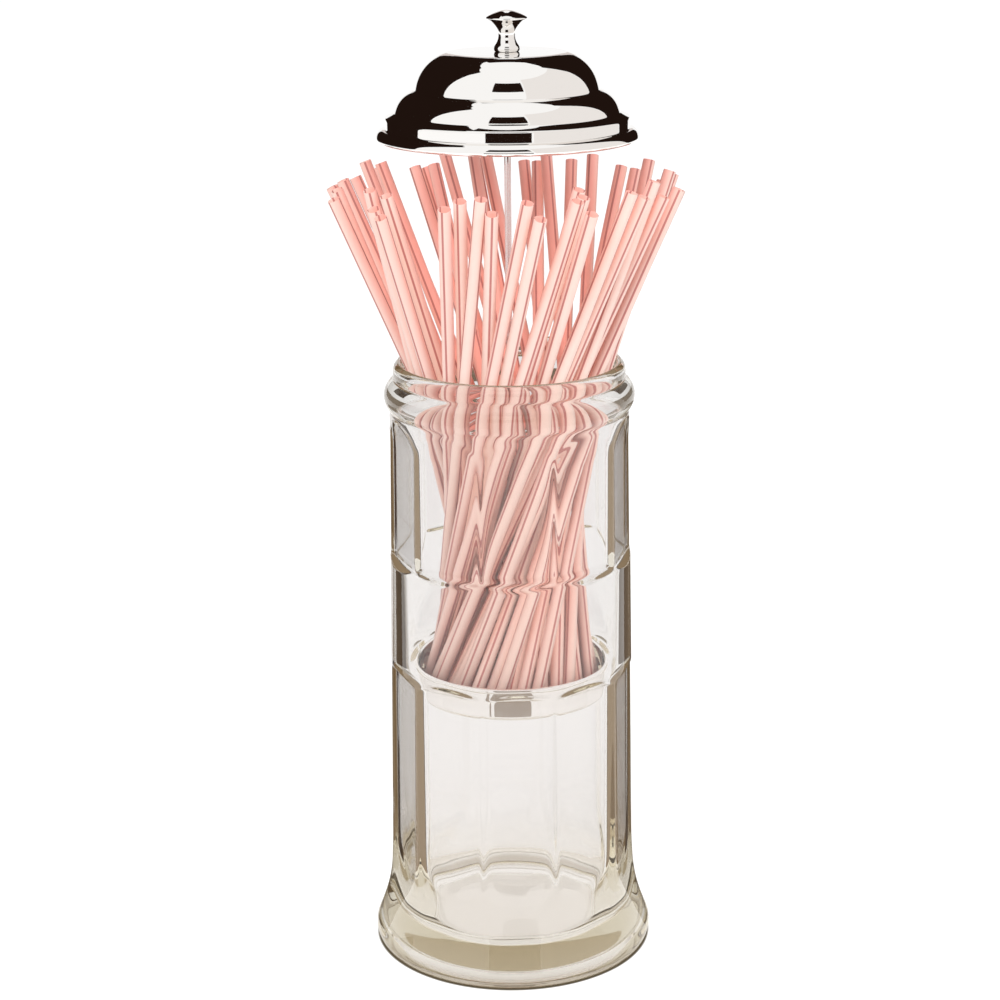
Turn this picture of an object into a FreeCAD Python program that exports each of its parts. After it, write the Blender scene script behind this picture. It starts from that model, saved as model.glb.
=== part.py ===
import FreeCAD, Part
import math
import os
import random

import Sketcher

# Counter straw dispenser: a pressed-glass jar, and a lid that lifts a cup of drinking straws.
# The lid, its knob, the rod and the lifter cup move as one. Straws stand in the cup, lean on
# the lip of the jar and fan out as the lid is raised.
# Frame: +Z up, origin at the centre of the jar's foot, the front panel faces -Y. Millimetres.
# The model stands with the lid raised.

doc = FreeCAD.newDocument("straw_dispenser")

# ---------------------------------------------------------------- driving dimensions

DIMENSIONS = [
    # glass jar
    ("jar_height", 237.4, "foot to the crest of the lip"),
    ("foot_radius", 55.4, "widest radius of the foot"),
    ("foot_bulge", 0.5, "how far the foot's edge bulges"),
    ("foot_edge_height", 7.2, "height of the foot's rounded edge"),
    ("foot_edge_round", 1.6, "rounding under the foot"),
    ("flare_height", 34.0, "where the body starts to flare into the foot"),
    ("body_radius_low", 48.6, "body radius above the flare"),
    ("body_radius_top", 45.9, "body radius under the bead"),
    ("neck_height", 18.2, "height of the bead and the lip together"),
    ("bead_radius", 47.9, "radius of the bead below the mouth"),
    ("bead_height", 11.6, "height of the bead"),
    ("groove_radius", 44.0, "radius of the groove between the bead and the lip"),
    ("lip_radius", 44.4, "outer radius of the lip"),
    ("mouth_radius", 40.4, "radius of the mouth"),
    ("lip_round", 2.0, "rounding of the lip's crest"),
    ("bore_radius_low", 39.4, "cavity radius above its floor"),
    ("floor_height", 8.5, "height of the cavity's floor"),
    ("floor_round", 9.0, "rounding between the floor and the wall"),
    ("recess_radius", 45.0, "radius of the hollow under the foot"),
    ("recess_depth", 1.8, "depth of the hollow under the foot"),
    ("panel_count", 10, "flat panels in each tier"),
    ("panel_turn", 3.4, "turn of the front panel, degrees"),
    ("band_low", 117.5, "lower edge of the smooth band"),
    ("band_high", 159.4, "upper edge of the smooth band"),
    ("arch_gap", 2.7, "crown of the arches to the bead above them"),
    ("arch_rise", 11.0, "rise of those arches"),
    ("lower_panel_flat", 42.0, "where the lower panels start to fade into the flare"),
    ("lower_panel_end", 14.0, "where the lower panels end"),
    ("lower_panel_fade", 6.2, "how far the lower panels bend outwards by their end"),
    # spun lid
    ("lid_raise", 83.8, "height of the lid's rim above the jar's lip, lid raised"),
    ("lid_sheet", 0.6, "thickness of the lid's sheet"),
    ("rim_radius", 49.0, "outer radius of the rolled rim"),
    ("rim_roll", 2.4, "thickness of the rolled rim"),
    ("skirt_radius", 45.4, "outer radius of the upright skirt"),
    ("skirt_low", 4.2, "lower end of the skirt above the rim"),
    ("ledge_rise", 8.6, "height of the ledge above the rim"),
    ("ledge_round", 0.7, "rounding of the ledge's edge"),
    ("lower_dome_radius", 42.0, "radius of the lower dome at the ledge"),
    ("lower_dome_rise", 10.0, "height of the lower dome's foot above the rim"),
    ("lower_dome_bow", 1.1, "how far the lower dome bows out"),
    ("crease_radius", 34.3, "radius of the crease between the domes"),
    ("crease_rise", 18.1, "height of the crease above the rim"),
    ("upper_dome_bow", 2.7, "how far the upper dome bows out"),
    ("disc_radius", 22.2, "radius of the flat top"),
    ("disc_rise", 31.7, "height of the flat top's edge above the rim"),
    ("lid_rise", 31.9, "height of the lid above the rim"),
    # turned knob
    ("knob_height", 14.9, "height of the knob"),
    ("knob_radius", 7.65, "radius of the knob's cap"),
    ("knob_cap_height", 3.3, "height of the cap"),
    ("knob_neck_radius", 3.1, "radius of the knob's neck"),
    ("knob_foot_radius", 4.75, "radius of the knob's foot"),
    ("knob_foot_height", 2.6, "height of the knob's foot"),
    ("knob_bore_depth", 7.0, "length of rod inside the knob"),
    # lift rod and its fasteners
    ("rod_radius", 1.25, "radius of the lift rod"),
    ("rod_end", 0.4, "rod past the lowest nut, and room over its top in the knob"),
    ("thread_clearance", 0.05, "radial clearance of the threads"),
    ("hole_clearance", 0.25, "radial clearance of plain holes on the rod"),
    ("nut_flats", 5.0, "width of the nuts across their flats"),
    ("nut_height", 2.0, "height of the nuts"),
    ("washer_radius", 3.0, "outer radius of the washer under the lid"),
    ("cup_washer_radius", 5.0, "outer radius of the wide washer in the cup"),
    ("washer_sheet", 0.6, "thickness of the washers"),
    # lifter cup
    ("cup_hang", 216.4, "depth of the lifter cup's underside below the lid's rim"),
    ("cup_height", 13.5, "height of the lifter cup"),
    ("cup_radius", 37.3, "outer radius of the cup's wall"),
    ("cup_bead", 1.0, "how far the cup's rolled rim stands out"),
    ("cup_sheet", 0.6, "thickness of the cup's sheet"),
    ("cup_round", 2.5, "rounding between the cup's floor and wall"),
    # drinking straws
    ("straw_radius", 2.35, "outer radius of a straw"),
    ("straw_wall", 0.25, "wall of a straw"),
    ("straw_length", 216.0, "length of a straw"),
    ("straw_count", 46, "straws in the cup"),
    ("straw_gap", 0.5, "least gap between two straws"),
    ("lip_gap", 0.1, "least gap between a straw and the jar's lip"),
    ("straw_spread", 47.3, "least run of a straw sideways, from the cup's floor to the lip"),
    ("foot_gap", 0.1, "gap between a straw's end and the cup's floor"),
]

dims = doc.addObject("Spreadsheet::Sheet", "dims")
for row, (alias, number, note) in enumerate(DIMENSIONS, start=1):
    dims.set(f"A{row}", alias)
    dims.set(f"B{row}", str(number))
    dims.set(f"C{row}", note)
    dims.setAlias(f"B{row}", alias)
doc.recompute()


def size(expression):
    """The number that an expression on the sheet's cells gives, in millimetres or degrees."""
    found = dims.evalExpression(expression)
    return float(getattr(found, "Value", found))


# ---------------------------------------------------------------- sketches and bodies

def new_body(label):
    body = doc.addObject("PartDesign::Body", label)
    body.Label = label
    return body


def origin_plane(body, role):
    return next(part for part in body.Origin.OriginFeatures if part.Role == role)


def fix_point(sketch, geometry, end, place):
    """Dimension one point of the sketch from the origin, bound to its two expressions."""
    for kind, expression in zip(("DistanceX", "DistanceY"), place):
        if expression == "0":
            axis = -2 if kind == "DistanceX" else -1
            sketch.addConstraint(Sketcher.Constraint("PointOnObject", geometry, end, axis))
            continue
        constraint = Sketcher.Constraint(kind, -1, 1, geometry, end, size(expression))
        index = sketch.addConstraint(constraint)
        sketch.setExpression(f"Constraints[{index}]", expression)


def arc_radius(start, via, finish):
    """Expression for the radius of the arc through three points."""
    sides = []
    for one, other in ((start, via), (via, finish), (finish, start)):
        sides.append(f"sqrt((({one[0]}) - ({other[0]}))^2 + (({one[1]}) - ({other[1]}))^2)")
    area = (f"abs((({via[0]}) - ({start[0]})) * (({finish[1]}) - ({start[1]}))"
            f" - (({finish[0]}) - ({start[0]})) * (({via[1]}) - ({start[1]})))")
    return f"{sides[0]} * {sides[1]} * {sides[2]} / (2 * {area})"


def outline_sketch(body, name, outline):
    """A closed outline in the body's XZ plane.

    Each item is a corner (x, z). A third entry "via" marks a point that the edge between
    its two neighbours bows through, which makes that edge an arc.
    """
    sketch = body.newObject("Sketcher::SketchObject", name)
    sketch.AttachmentSupport = (origin_plane(body, "XZ_Plane"), [""])
    sketch.MapMode = "FlatFace"
    corners = []
    vias = []
    for item in outline:
        if len(item) == 2:
            corners.append(item)
            vias.append(None)
        else:
            vias[-1] = item

    ends = []
    for number, (corner, via) in enumerate(zip(corners, vias)):
        after = corners[(number + 1) % len(corners)]
        start, finish = (FreeCAD.Vector(size(x), size(z), 0) for x, z in (corner, after))
        if via is None:
            geometry = sketch.addGeometry(Part.LineSegment(start, finish))
            ends.append((geometry, 1, 2))
            continue
        middle = FreeCAD.Vector(size(via[0]), size(via[1]), 0)
        # a sketch keeps its arcs anticlockwise
        if (middle - start).cross(finish - start).z > 0:
            geometry = sketch.addGeometry(Part.Arc(start, middle, finish))
            ends.append((geometry, 1, 2))
        else:
            geometry = sketch.addGeometry(Part.Arc(finish, middle, start))
            ends.append((geometry, 2, 1))
    for number, (geometry, first, last) in enumerate(ends):
        after, after_first, _ = ends[(number + 1) % len(ends)]
        sketch.addConstraint(Sketcher.Constraint("Coincident", geometry, last, after, after_first))
    for (geometry, first, _), corner in zip(ends, corners):
        fix_point(sketch, geometry, first, corner)
    for number, via in enumerate(vias):
        if via:
            radius = arc_radius(corners[number], via, corners[(number + 1) % len(corners)])
            constraint = Sketcher.Constraint("Radius", ends[number][0], size(radius))
            sketch.setExpression(f"Constraints[{sketch.addConstraint(constraint)}]", radius)
    return sketch


def turned(body, name, outline, kind="PartDesign::Revolution"):
    """Turn an outline about Z: a Revolution adds it to the body, a Groove cuts it away."""
    feature = body.newObject(kind, name)
    feature.Profile = outline_sketch(body, name + "_outline", outline)
    feature.ReferenceAxis = (feature.Profile[0], ["V_Axis"])
    feature.Angle = 360
    return feature


# ---------------------------------------------------------------- glass jar

jar = new_body("glass_jar")
# half a panel's turn brings a panel to the front, and the jar stands a little askew
jar.Placement.Rotation = FreeCAD.Rotation(FreeCAD.Vector(0, 0, 1), 10)
jar.setExpression("Placement.Rotation.Angle", "dims.panel_turn + 180 / dims.panel_count")
SHOULDER = "(dims.jar_height - dims.neck_height)"
BORE_TOP = "(dims.jar_height - dims.lip_round)"
BEAD_TOP = f"({SHOULDER} + dims.bead_height)"
FOOT_EDGE = "(dims.foot_radius - dims.foot_bulge)"

turned(jar, "jar_outside", [
    ("0", "0"),
    (f"{FOOT_EDGE} - dims.foot_edge_round", "0"),
    (f"{FOOT_EDGE} - 0.29 * dims.foot_edge_round", "0.29 * dims.foot_edge_round", "via"),
    (FOOT_EDGE, "dims.foot_edge_round"),
    ("dims.foot_radius", "(dims.foot_edge_round + dims.foot_edge_height) / 2", "via"),
    (FOOT_EDGE, "dims.foot_edge_height"),
    (f"0.75 * dims.body_radius_low + 0.25 * {FOOT_EDGE}",
     "(dims.foot_edge_height + dims.flare_height) / 2", "via"),
    ("dims.body_radius_low", "dims.flare_height"),
    ("dims.body_radius_top", SHOULDER),
    ("dims.bead_radius", f"{SHOULDER} + dims.bead_height / 2", "via"),
    ("dims.groove_radius", BEAD_TOP),
    ("dims.lip_radius", f"({BEAD_TOP} + {BORE_TOP}) / 2", "via"),
    ("dims.lip_radius - 0.29 * dims.lip_round", "dims.jar_height - 0.71 * dims.lip_round"),
    ("dims.lip_radius - dims.lip_round", "dims.jar_height"),
    ("0", "dims.jar_height"),
])


def body_radius(height):
    """Radius of the round body at a height, between the flare and the shoulder."""
    return (f"(dims.body_radius_top + (dims.body_radius_low - dims.body_radius_top)"
            f" * ({SHOULDER} - ({height})) / ({SHOULDER} - dims.flare_height))")


def panel_face(height):
    """Distance of a flat panel from the axis at a height: its edges lie on the round body."""
    return f"({body_radius(height)} * cos(180 deg / dims.panel_count))"


def cut_panels(name, outline):
    """Cut one flat panel across the body and repeat it all round."""
    pocket = jar.newObject("PartDesign::Pocket", name)
    pocket.Profile = outline_sketch(jar, name + "_outline", outline)
    pocket.Type = "Length"
    pocket.SideType = "Symmetric"
    pocket.setExpression("Length", "1.2 * dims.body_radius_low")
    ring = jar.newObject("PartDesign::PolarPattern", name + "_ring")
    ring.Originals = [pocket]
    ring.Axis = (origin_plane(jar, "Z_Axis"), [""])
    ring.Angle = 360
    ring.setExpression("Occurrences", "dims.panel_count")
    jar.Tip = ring
    return ring


OUTSIDE = "1.2 * dims.foot_radius"
ARCH_FOOT = f"({SHOULDER} - dims.arch_gap - dims.arch_rise)"
PANEL_DEPTH = f"({body_radius(ARCH_FOOT)} - {panel_face(ARCH_FOOT)})"
LEDGE = f"({body_radius('dims.band_high')} - {panel_face('dims.band_high')})"

cut_panels("upper_panels", [
    (panel_face(ARCH_FOOT), ARCH_FOOT),
    (panel_face(f"dims.band_high + {LEDGE}"), f"dims.band_high + {LEDGE}"),
    (f"{panel_face('dims.band_high')} + 2 * {LEDGE}", f"dims.band_high - {LEDGE}"),
    (OUTSIDE, f"dims.band_high - {LEDGE}"),
    (OUTSIDE, f"{ARCH_FOOT} + 2 * dims.arch_rise"),
    (f"{panel_face(ARCH_FOOT)} + 4 * {PANEL_DEPTH}", f"{ARCH_FOOT} + 2 * dims.arch_rise"),
    (f"{panel_face(ARCH_FOOT)} + {PANEL_DEPTH}", f"{ARCH_FOOT} + dims.arch_rise", "via"),
])

FADE_FACE = panel_face("dims.lower_panel_flat")
cut_panels("lower_panels", [
    (panel_face(f"dims.band_low - {LEDGE}"), f"dims.band_low - {LEDGE}"),
    (FADE_FACE, "dims.lower_panel_flat"),
    (f"{FADE_FACE} + dims.lower_panel_fade / 4",
     "(dims.lower_panel_flat + dims.lower_panel_end) / 2", "via"),
    (f"{FADE_FACE} + dims.lower_panel_fade", "dims.lower_panel_end"),
    (OUTSIDE, "dims.lower_panel_end"),
    (OUTSIDE, f"dims.band_low + {LEDGE}"),
    (f"{panel_face('dims.band_low')} + 2 * {LEDGE}", f"dims.band_low + {LEDGE}"),
])

turned(jar, "jar_cavity", [
    ("0", "dims.floor_height"),
    ("dims.bore_radius_low - dims.floor_round", "dims.floor_height"),
    ("dims.bore_radius_low - 0.293 * dims.floor_round",
     "dims.floor_height + 0.293 * dims.floor_round", "via"),
    ("dims.bore_radius_low", "dims.floor_height + dims.floor_round"),
    ("dims.mouth_radius", BORE_TOP),
    ("dims.mouth_radius + 0.293 * dims.lip_round", "dims.jar_height - 0.293 * dims.lip_round",
     "via"),
    ("dims.mouth_radius + dims.lip_round", "dims.jar_height"),
    ("dims.mouth_radius + dims.lip_round", "dims.jar_height + dims.lip_round"),
    ("0", "dims.jar_height + dims.lip_round"),
], "PartDesign::Groove")

turned(jar, "foot_recess", [
    ("0", "0 - dims.recess_depth"),
    ("dims.recess_radius", "0 - dims.recess_depth"),
    ("dims.recess_radius", "0.2 * dims.recess_depth"),
    ("dims.recess_radius - dims.recess_depth", "dims.recess_depth"),
    ("0", "1.2 * dims.recess_depth"),
], "PartDesign::Groove")


# ---------------------------------------------------------------- spun lid

LID_BASE = "(dims.jar_height + dims.lid_raise)"


def above_rim(rise):
    return f"({LID_BASE} + {rise})"


HOLE_RADIUS = "dims.rod_radius + dims.hole_clearance"
ROLL_INSIDE = "dims.rim_radius - dims.rim_roll"
SKIRT_INSIDE = "dims.skirt_radius - dims.lid_sheet"
# where the two domes bow furthest out: radius and height above the rim
UPPER_BOW = ("0.5 * (dims.disc_radius + dims.crease_radius) + 0.74 * dims.upper_dome_bow",
             "0.5 * (dims.disc_rise + dims.crease_rise) + 0.67 * dims.upper_dome_bow")
LOWER_BOW = ("0.5 * (dims.crease_radius + dims.lower_dome_radius) + 0.73 * dims.lower_dome_bow",
             "0.5 * (dims.crease_rise + dims.lower_dome_rise) + 0.68 * dims.lower_dome_bow")

lid = new_body("lid_dome")
turned(lid, "lid_shell", [
    # over the top, from the centre hole to the rolled rim
    (HOLE_RADIUS, above_rim("dims.lid_rise")),
    ("dims.disc_radius", above_rim("dims.disc_rise")),
    (UPPER_BOW[0], above_rim(UPPER_BOW[1]), "via"),
    ("dims.crease_radius", above_rim("dims.crease_rise")),
    (LOWER_BOW[0], above_rim(LOWER_BOW[1]), "via"),
    ("dims.lower_dome_radius", above_rim("dims.lower_dome_rise")),
    ("dims.skirt_radius - dims.ledge_round", above_rim("dims.ledge_rise")),
    ("dims.skirt_radius - 0.29 * dims.ledge_round",
     above_rim("dims.ledge_rise - 0.29 * dims.ledge_round"), "via"),
    ("dims.skirt_radius", above_rim("dims.ledge_rise - dims.ledge_round")),
    ("dims.skirt_radius", above_rim("dims.skirt_low")),
    ("0.5 * (dims.skirt_radius + dims.rim_radius) + 0.29 * dims.rim_roll",
     above_rim("0.5 * dims.skirt_low + 0.5 * dims.rim_roll"), "via"),
    ("dims.rim_radius", above_rim("0.45 * dims.rim_roll")),
    ("dims.rim_radius - dims.rim_roll / 2", LID_BASE, "via"),
    # back under the sheet
    (ROLL_INSIDE, above_rim("0.45 * dims.rim_roll")),
    (f"0.5 * ({SKIRT_INSIDE} + {ROLL_INSIDE}) - 0.1 * dims.rim_roll",
     above_rim("0.5 * (dims.skirt_low + 0.45 * dims.rim_roll)"), "via"),
    (SKIRT_INSIDE, above_rim("dims.skirt_low")),
    (SKIRT_INSIDE, above_rim("dims.ledge_rise - dims.ledge_round - 0.3 * dims.lid_sheet")),
    (f"{SKIRT_INSIDE} - 0.5 * dims.ledge_round", above_rim("dims.ledge_rise - dims.lid_sheet")),
    ("dims.lower_dome_radius - dims.lid_sheet",
     above_rim("dims.lower_dome_rise - dims.lid_sheet")),
    (f"{LOWER_BOW[0]} - 0.7 * dims.lid_sheet",
     above_rim(f"{LOWER_BOW[1]} - 0.8 * dims.lid_sheet"), "via"),
    ("dims.crease_radius - dims.lid_sheet",
     above_rim("dims.crease_rise - 0.3 * dims.lid_sheet")),
    (f"{UPPER_BOW[0]} - 0.7 * dims.lid_sheet",
     above_rim(f"{UPPER_BOW[1]} - 0.7 * dims.lid_sheet"), "via"),
    ("dims.disc_radius - 0.3 * dims.lid_sheet", above_rim("dims.disc_rise - dims.lid_sheet")),
    (HOLE_RADIUS, above_rim("dims.lid_rise - dims.lid_sheet")),
])


# ---------------------------------------------------------------- knob

KNOB_BASE = above_rim("dims.lid_rise")
THREAD_RADIUS = "dims.rod_radius + dims.thread_clearance"


def above_lid(rise):
    return f"{KNOB_BASE} + {rise}"


CAP_EDGE = "(dims.knob_height - dims.knob_cap_height)"
knob = new_body("knob")
turned(knob, "knob_turning", [
    (THREAD_RADIUS, KNOB_BASE),
    ("0.93 * dims.knob_foot_radius", KNOB_BASE),
    ("dims.knob_foot_radius", above_lid("0.3 * dims.knob_foot_height"), "via"),
    ("0.93 * dims.knob_foot_radius", above_lid("0.85 * dims.knob_foot_height")),
    ("dims.knob_neck_radius", above_lid(f"0.46 * {CAP_EDGE}"), "via"),
    ("0.48 * dims.knob_radius", above_lid(f"0.72 * {CAP_EDGE}")),
    ("0.65 * dims.knob_radius", above_lid(f"0.857 * {CAP_EDGE}"), "via"),
    ("0.955 * dims.knob_radius", above_lid(CAP_EDGE)),
    ("dims.knob_radius", above_lid(f"{CAP_EDGE} + 0.14 * dims.knob_cap_height"), "via"),
    ("0.96 * dims.knob_radius", above_lid(f"{CAP_EDGE} + 0.27 * dims.knob_cap_height")),
    ("0.67 * dims.knob_radius", above_lid(f"{CAP_EDGE} + 0.62 * dims.knob_cap_height"), "via"),
    ("0.13 * dims.knob_radius", above_lid("dims.knob_height")),
    ("0", above_lid("dims.knob_height")),
    ("0", above_lid("dims.knob_bore_depth + dims.rod_end")),
    (THREAD_RADIUS, above_lid("dims.knob_bore_depth + dims.rod_end")),
])


# ---------------------------------------------------------------- lifter cup

CUP_BASE = f"({LID_BASE} - dims.cup_hang)"
CUP_TOP = f"({CUP_BASE} + dims.cup_height)"
CUP_INSIDE = "dims.cup_radius - dims.cup_sheet"

cup = new_body("lifter_cup")
turned(cup, "cup_shell", [
    (HOLE_RADIUS, CUP_BASE),
    ("dims.cup_radius - dims.cup_round", CUP_BASE),
    ("dims.cup_radius - 0.293 * dims.cup_round", f"{CUP_BASE} + 0.293 * dims.cup_round", "via"),
    ("dims.cup_radius", f"{CUP_BASE} + dims.cup_round"),
    ("dims.cup_radius", f"{CUP_TOP} - 2.2 * dims.cup_bead"),
    ("dims.cup_radius + dims.cup_bead", f"{CUP_TOP} - 1.1 * dims.cup_bead", "via"),
    ("dims.cup_radius", CUP_TOP),
    (CUP_INSIDE, f"{CUP_TOP} - dims.cup_sheet"),
    (CUP_INSIDE, f"{CUP_BASE} + dims.cup_round"),
    (f"{CUP_INSIDE} - 0.293 * (dims.cup_round - dims.cup_sheet)",
     f"{CUP_BASE} + dims.cup_sheet + 0.293 * (dims.cup_round - dims.cup_sheet)", "via"),
    (f"{CUP_INSIDE} - dims.cup_round + dims.cup_sheet", f"{CUP_BASE} + dims.cup_sheet"),
    (HOLE_RADIUS, f"{CUP_BASE} + dims.cup_sheet"),
])


# ---------------------------------------------------------------- rod, nuts and washers

def cylinder(name, radius, height, base):
    part = doc.addObject("Part::Cylinder", name)
    part.setExpression("Radius", radius)
    part.setExpression("Height", height)
    part.setExpression("Placement.Base.z", base)
    return part


def cut(label, base, tool):
    part = doc.addObject("Part::Cut", label)
    part.Label = label
    part.Base = base
    part.Tool = tool
    return part


def washer(label, radius, base):
    """A flat washer on the rod, its lower face at base."""
    disc = cylinder(label + "_disc", radius, "dims.washer_sheet", base)
    hole = cylinder(label + "_hole", HOLE_RADIUS, "dims.washer_sheet", base)
    return cut(label, disc, hole)


def hex_nut(label, base):
    """A hexagon nut on the rod, its lower face at base, with its thread as a plain bore."""
    blank = doc.addObject("Part::Prism", label + "_blank")
    blank.Polygon = 6
    blank.setExpression("Circumradius", "dims.nut_flats / 2 / cos(30 deg)")
    blank.setExpression("Height", "dims.nut_height")
    blank.setExpression("Placement.Base.z", base)
    bore = cylinder(label + "_thread", THREAD_RADIUS, "dims.nut_height", base)
    return cut(label, blank, bore)


LID_UNDER = above_rim("dims.lid_rise - dims.lid_sheet")
# the top's sheet slopes a little, so the washer's edge sets where the washer meets it
TOP_SLOPE = "(dims.lid_rise - dims.disc_rise) / (dims.disc_radius - dims.rod_radius)"
LID_WASHER_BASE = f"{LID_UNDER} - dims.washer_sheet - dims.washer_radius * {TOP_SLOPE}"
CUP_FLOOR = f"({CUP_BASE} + dims.cup_sheet)"
CUP_NUT_BASE = f"{CUP_BASE} - dims.nut_height"

lid_washer = washer("lid_washer", "dims.washer_radius", LID_WASHER_BASE)
lid_nut = hex_nut("lid_lock_nut", f"{LID_WASHER_BASE} - dims.nut_height")
cup_washer = washer("cup_washer", "dims.cup_washer_radius", CUP_FLOOR)
cup_top_nut = hex_nut("cup_top_nut", f"{CUP_FLOOR} + dims.washer_sheet")
under_nut = hex_nut("cup_under_nut", CUP_NUT_BASE)

ROD_BASE = f"{CUP_NUT_BASE} - dims.rod_end"
rod = cylinder("lift_rod", "dims.rod_radius",
               above_lid(f"dims.knob_bore_depth - ({ROD_BASE})"), ROD_BASE)


# ---------------------------------------------------------------- drinking straws

STANDING_HEIGHT = f"{BORE_TOP} - {CUP_FLOOR}"


class Straw:
    """The centre line of a straw: (x, y) at the cup's floor and at the height of the lip."""

    def __init__(self, foot, lip, rise):
        self.foot = list(foot)
        self.lip = list(lip)
        self.rise = rise

    def run(self):
        return self.lip[0] - self.foot[0], self.lip[1] - self.foot[1]

    def lean(self):
        return math.atan2(math.hypot(*self.run()), self.rise)

    def shift(self, share, dx, dy):
        """Move the line sideways at a share of its height; both ends take their part."""
        low = 1 - share
        total = low * low + share * share
        self.foot[0] += dx * low / total
        self.foot[1] += dy * low / total
        self.lip[0] += dx * share / total
        self.lip[1] += dy * share / total


def keep_within(point, radius):
    reach = math.hypot(*point)
    if reach > radius:
        point[0] *= radius / reach
        point[1] *= radius / reach


def first_fan(count, foot_reach, lip_reach, rise):
    """Straws all round the lip, each with its foot across the cup, before they settle.

    They all sweep the same way round, by unequal angles, and leave two breaks in the fan.
    """
    rng = random.Random(2)
    right_count = round(0.52 * count)
    left_count = count - right_count
    right = [-104 + 168 * number / (right_count - 1) for number in range(right_count)]
    left = [85 + 155 * number / (left_count - 1) for number in range(left_count)]
    sweeps = (136, 104, 124, 92, 142, 114)
    straws = []
    for number, around in enumerate(right + left):
        # fewer straws at the two sides than at the front and the back
        around += 10 * math.sin(math.radians(2 * around))
        sweep = sweeps[number % len(sweeps)] + rng.uniform(-5, 5)
        sweep -= 14 * math.cos(math.radians(around))
        around += rng.uniform(-1.5, 1.5)
        lip_radius = lip_reach * (1 - (0.053 if number % 3 == 0 else 0) - rng.uniform(0, 0.027))
        foot_radius = foot_reach * (1 - rng.uniform(0, 0.147))
        lip_angle = math.radians(around)
        foot_angle = math.radians(around - sweep)
        straws.append(Straw(
            (foot_radius * math.cos(foot_angle), foot_radius * math.sin(foot_angle)),
            (lip_radius * math.cos(lip_angle), lip_radius * math.sin(lip_angle)), rise))
    return straws


def part_pair(one, other, least, reach):
    """Push two straws apart where their centre lines pass closer than least.

    Returns how much room they lacked.
    """
    gap_x = one.foot[0] - other.foot[0]
    gap_y = one.foot[1] - other.foot[1]
    run_x = one.run()[0] - other.run()[0]
    run_y = one.run()[1] - other.run()[1]
    spread = run_x * run_x + run_y * run_y
    share = -(gap_x * run_x + gap_y * run_y) / spread if spread > 1e-9 else 0.0
    share = min(max(share, 0.0), reach)
    gap_x += share * run_x
    gap_y += share * run_y
    level_gap = math.hypot(gap_x, gap_y)
    if level_gap > 1.35 * least:
        return 0.0
    # a level gap along the lean is shorter across the straws
    lean_x = (one.run()[0] + other.run()[0]) / (2 * one.rise)
    lean_y = (one.run()[1] + other.run()[1]) / (2 * one.rise)
    lean = lean_x * lean_x + lean_y * lean_y
    along = (gap_x * lean_x + gap_y * lean_y) / math.sqrt(lean)
    true_gap = math.sqrt(level_gap ** 2 - along ** 2 + along ** 2 / (1 + lean))
    lack = least - true_gap
    if lack <= 0:
        return 0.0
    push = 0.51 * lack / true_gap
    one.shift(share, push * gap_x, push * gap_y)
    other.shift(share, -push * gap_x, -push * gap_y)
    return lack


def part_from_rod(straw, least):
    """Keep a straw clear of the lift rod."""
    run_x, run_y = straw.run()
    run = math.hypot(run_x, run_y)
    miss = (straw.foot[0] * run_y - straw.foot[1] * run_x) / run
    lack = least - abs(miss)
    if lack <= 0:
        return 0.0
    push = math.copysign(lack, miss) / run
    for end in (straw.foot, straw.lip):
        end[0] += push * run_y
        end[1] -= push * run_x
    return lack


def hold_spread(straw, least):
    """Keep a straw leaning at least this far, so that its top stays under the lid's rim."""
    run_x, run_y = straw.run()
    run = math.hypot(run_x, run_y)
    if run < least:
        push = 0.5 * (least - run) / run
        straw.foot[0] -= push * run_x
        straw.foot[1] -= push * run_y
        straw.lip[0] += push * run_x
        straw.lip[1] += push * run_y


def settle_straws():
    """Let the straws find their places: inside the cup and the mouth, and off each other."""
    rise = size(STANDING_HEIGHT)
    radius = size("dims.straw_radius")
    gap = size("dims.straw_gap")
    slant_radius = 1.1 * radius
    foot_reach = size(f"{CUP_INSIDE}") - slant_radius - gap
    lip_reach = size("dims.mouth_radius - dims.lip_gap") - slant_radius
    reach = size("dims.straw_length") / rise
    least_run = size("dims.straw_spread")
    straws = first_fan(int(size("dims.straw_count")), foot_reach, lip_reach, rise)
    for _ in range(1500):
        worst = 0.0
        for number, one in enumerate(straws):
            for other in straws[:number]:
                worst = max(worst, part_pair(one, other, 2 * radius + gap, reach))
        for straw in straws:
            keep_within(straw.foot, foot_reach)
            keep_within(straw.lip, lip_reach)
            worst = max(worst, part_from_rod(straw, radius + size("dims.rod_radius") + gap))
            hold_spread(straw, least_run)
        if worst < 0.03 * gap:
            break
    return straws


straws = settle_straws()
straw_height = size(CUP_FLOOR)
for number, straw in enumerate(straws, start=1):
    label = f"straw_{number:02d}"
    tube = cylinder(label + "_tube", "dims.straw_radius", "dims.straw_length", "0")
    bore = cylinder(label + "_bore", "dims.straw_radius - dims.straw_wall",
                    "dims.straw_length", "0")
    part = cut(label, tube, bore)
    run_x, run_y = straw.run()
    # the low side of the slanted end stands on the cup's floor
    end_drop = size("dims.straw_radius") * math.sin(straw.lean()) + size("dims.foot_gap")
    start = FreeCAD.Vector(straw.foot[0], straw.foot[1], straw_height + end_drop)
    along = FreeCAD.Vector(run_x, run_y, straw.rise)
    part.Placement = FreeCAD.Placement(start, FreeCAD.Rotation(FreeCAD.Vector(0, 0, 1), along))


# ---------------------------------------------------------------- check and export

def check(document):
    document.recompute()
    for item in document.Objects:
        if "Invalid" in item.State or "Error" in item.State:
            raise RuntimeError(f"{item.Label} failed: {item.State}")


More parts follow.
